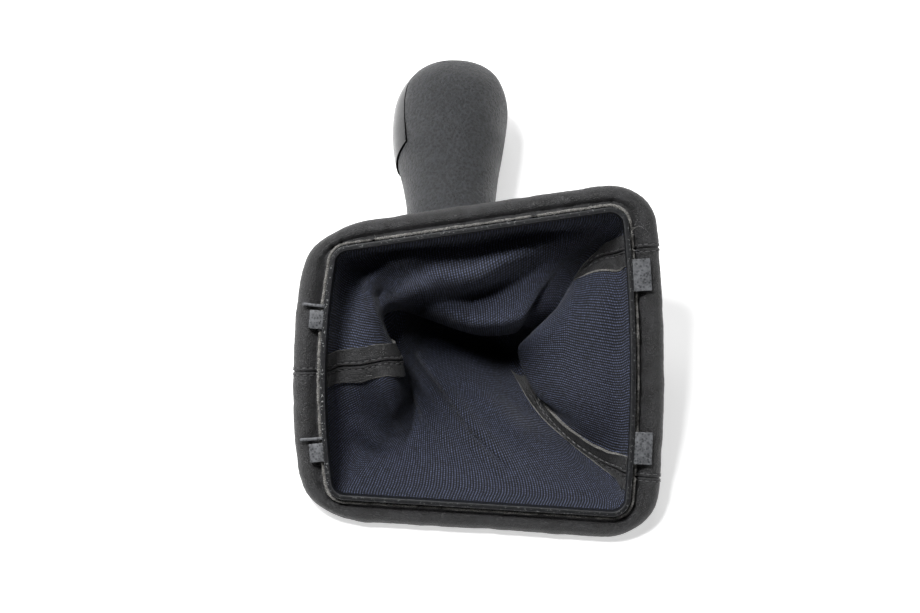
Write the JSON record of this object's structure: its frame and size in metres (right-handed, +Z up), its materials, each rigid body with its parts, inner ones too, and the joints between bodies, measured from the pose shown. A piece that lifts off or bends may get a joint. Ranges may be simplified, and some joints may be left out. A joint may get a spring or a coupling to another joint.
{
  "type": "gear lever gaiter",
  "caption": "Leather gear lever gaiter on its plastic base frame, bag collapsed, with the gear knob fixed to its neck.",
  "frame": {"origin": "centre of the part's box on the table it lies on", "axes": "+X towards the car's front side of the frame, +Y along the knob away from the open mouth, +Z up"},
  "size_m": [0.1514, 0.2128, 0.0758],
  "materials": {
    "frame_plastic": "moulded, slightly satin",
    "gaiter_leather": "fine grained, satin, navy twill back",
    "grip_skin": "leather-grained soft moulding",
    "cap_plastic": "satin gloss",
    "core_plastic": "moulded",
    "bush_steel": "turned",
    "tie_plastic": "moulded"
  },
  "bodies": {
    "root": {"base_frame": "frame_plastic", "gaiter_right_side_panel": "gaiter_leather", "gaiter_front_panel": "gaiter_leather", "gaiter_left_side_panel": "gaiter_leather", "knob_grip": "grip_skin", "knob_face_cap": "cap_plastic", "knob_core": "core_plastic", "lever_bush": "bush_steel", "neck_ring": "tie_plastic", "neck_tie": "tie_plastic"}
  },
  "joints": []
}
